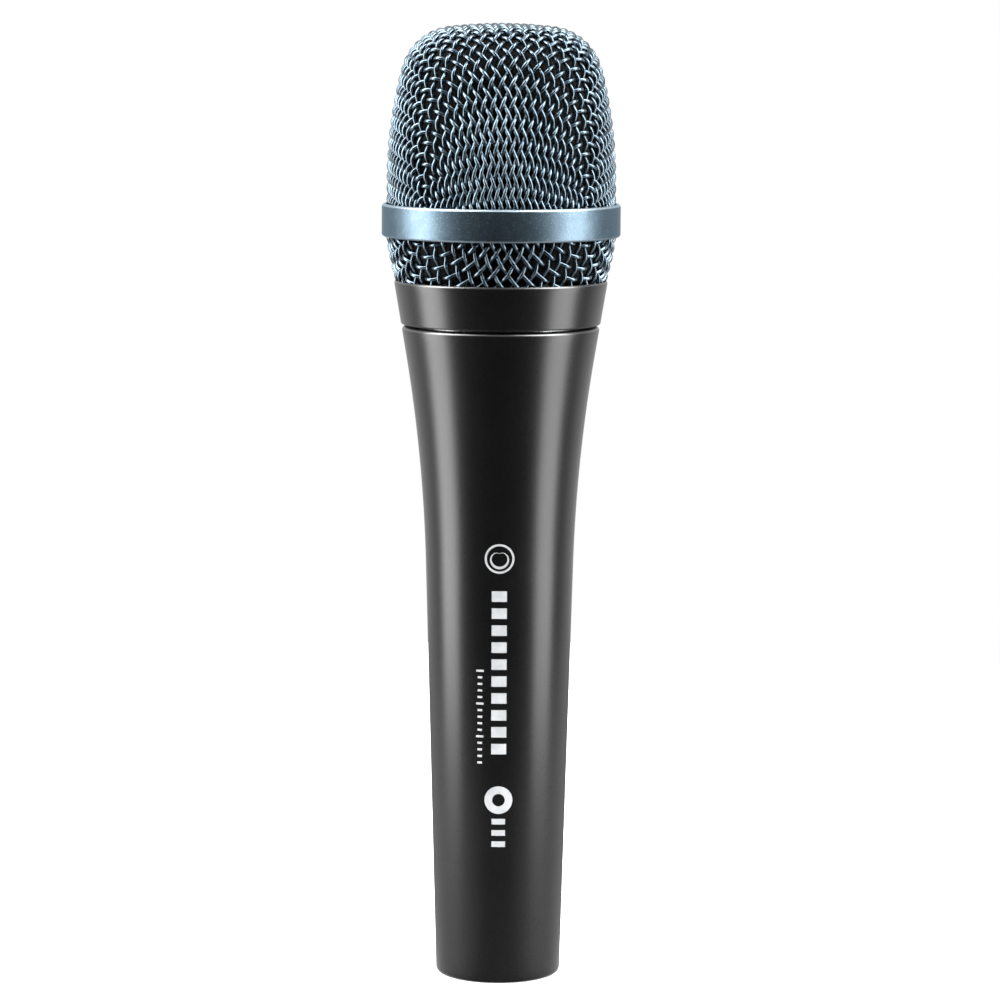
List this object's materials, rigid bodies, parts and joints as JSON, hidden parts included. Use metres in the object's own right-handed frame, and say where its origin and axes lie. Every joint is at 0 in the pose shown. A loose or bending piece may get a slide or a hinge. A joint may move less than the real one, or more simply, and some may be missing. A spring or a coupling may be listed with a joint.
{
  "type": "dynamic microphone",
  "caption": "Handheld dynamic vocal microphone: tapered handle with a three-pin connector, and a ball-shaped woven wire head that unscrews over a shock-mounted capsule.",
  "frame": {"origin": "centre of the handle's base rim, on the surface that it stands on", "axes": "+Z along the handle towards the grille, -Y towards the front, +Y towards the connector's latch side"},
  "size_m": [0.0466, 0.0466, 0.1876],
  "materials": {
    "black_lacquer": "satin",
    "blue_grey_band": "satin",
    "grille_wire": "satin",
    "black_foam": "matte",
    "neck_metal": "satin",
    "black_plastic": "matte",
    "grey_plastic": "matte",
    "black_rubber": "matte",
    "plated_contact": "polished",
    "spring_brass": "satin",
    "screw_steel": "satin",
    "transformer_steel": "satin",
    "grey_foam": "matte",
    "yellow_insulation": "satin",
    "green_insulation": "satin",
    "acoustic_cloth": "matte",
    "felt": "matte",
    "soft_iron": "satin",
    "magnet_metal": "satin",
    "copper_winding": "satin",
    "board_laminate": "matte",
    "clear_film": "gloss"
  },
  "bodies": {
    "handle": {"handle_shell": "black_lacquer", "thread_ring": "neck_metal", "retaining_ring": "grey_plastic", "shock_mount": "black_rubber", "shock_ring": "black_rubber", "xlr_insert": "black_plastic", "xlr_pin_1": "plated_contact", "xlr_pin_2": "plated_contact", "xlr_pin_3": "plated_contact", "ground_tab": "spring_brass", "lock_screw": "screw_steel", "transformer_can": "transformer_steel", "transformer_sleeve": "grey_foam", "lead_hot_lower": "yellow_insulation", "lead_cold_lower": "green_insulation", "lead_hot_upper": "yellow_insulation", "lead_cold_upper": "green_insulation"},
    "neck_washer": {"neck_washer": "black_rubber"},
    "head": {"head_collar": "black_lacquer", "lower_basket": "grille_wire", "head_band": "blue_grey_band", "upper_basket": "grille_wire", "upper_foam": "black_foam", "lower_foam": "black_foam"},
    "capsule": {"capsule_shell": "grey_plastic", "capsule_cap": "black_plastic", "dust_cloth": "acoustic_cloth", "resistance_felt": "felt", "pole_yoke": "soft_iron", "magnet": "magnet_metal", "pole_piece": "soft_iron", "hum_coil": "copper_winding", "terminal_board": "board_laminate", "surround": "clear_film"},
    "diaphragm": {"diaphragm_dome": "clear_film", "voice_coil": "copper_winding"}
  },
  "joints": [
    {"name": "head_lift", "type": "slide", "parent": "handle", "child": "neck_washer", "axis": [0, 0, 1], "range_m": [0, 0.006]},
    {"name": "head_turn", "type": "hinge", "parent": "neck_washer", "child": "head", "pos_m": [0, 0, 0.1318], "axis": [0, 0, 1], "range_deg": [0, 1440]},
    {"name": "capsule_float", "type": "slide", "parent": "handle", "child": "capsule", "axis": [0, 0, 1], "range_m": [-0.0008, 0.0008], "stiffness_N_per_m": 4000, "springref_m": 0.0001, "deforming": ["shock_mount", "shock_ring", "lead_hot_upper", "lead_cold_upper"]},
    {"name": "diaphragm_stroke", "type": "slide", "parent": "capsule", "child": "diaphragm", "axis": [0, 0, 1], "range_m": [-0.0003, 0.0003], "stiffness_N_per_m": 250, "deforming": ["surround"]}
  ],
  "couplings": [
    {"joint": "head_lift", "follows": "head_turn", "m_per_rad": 0.00023873}
  ]
}
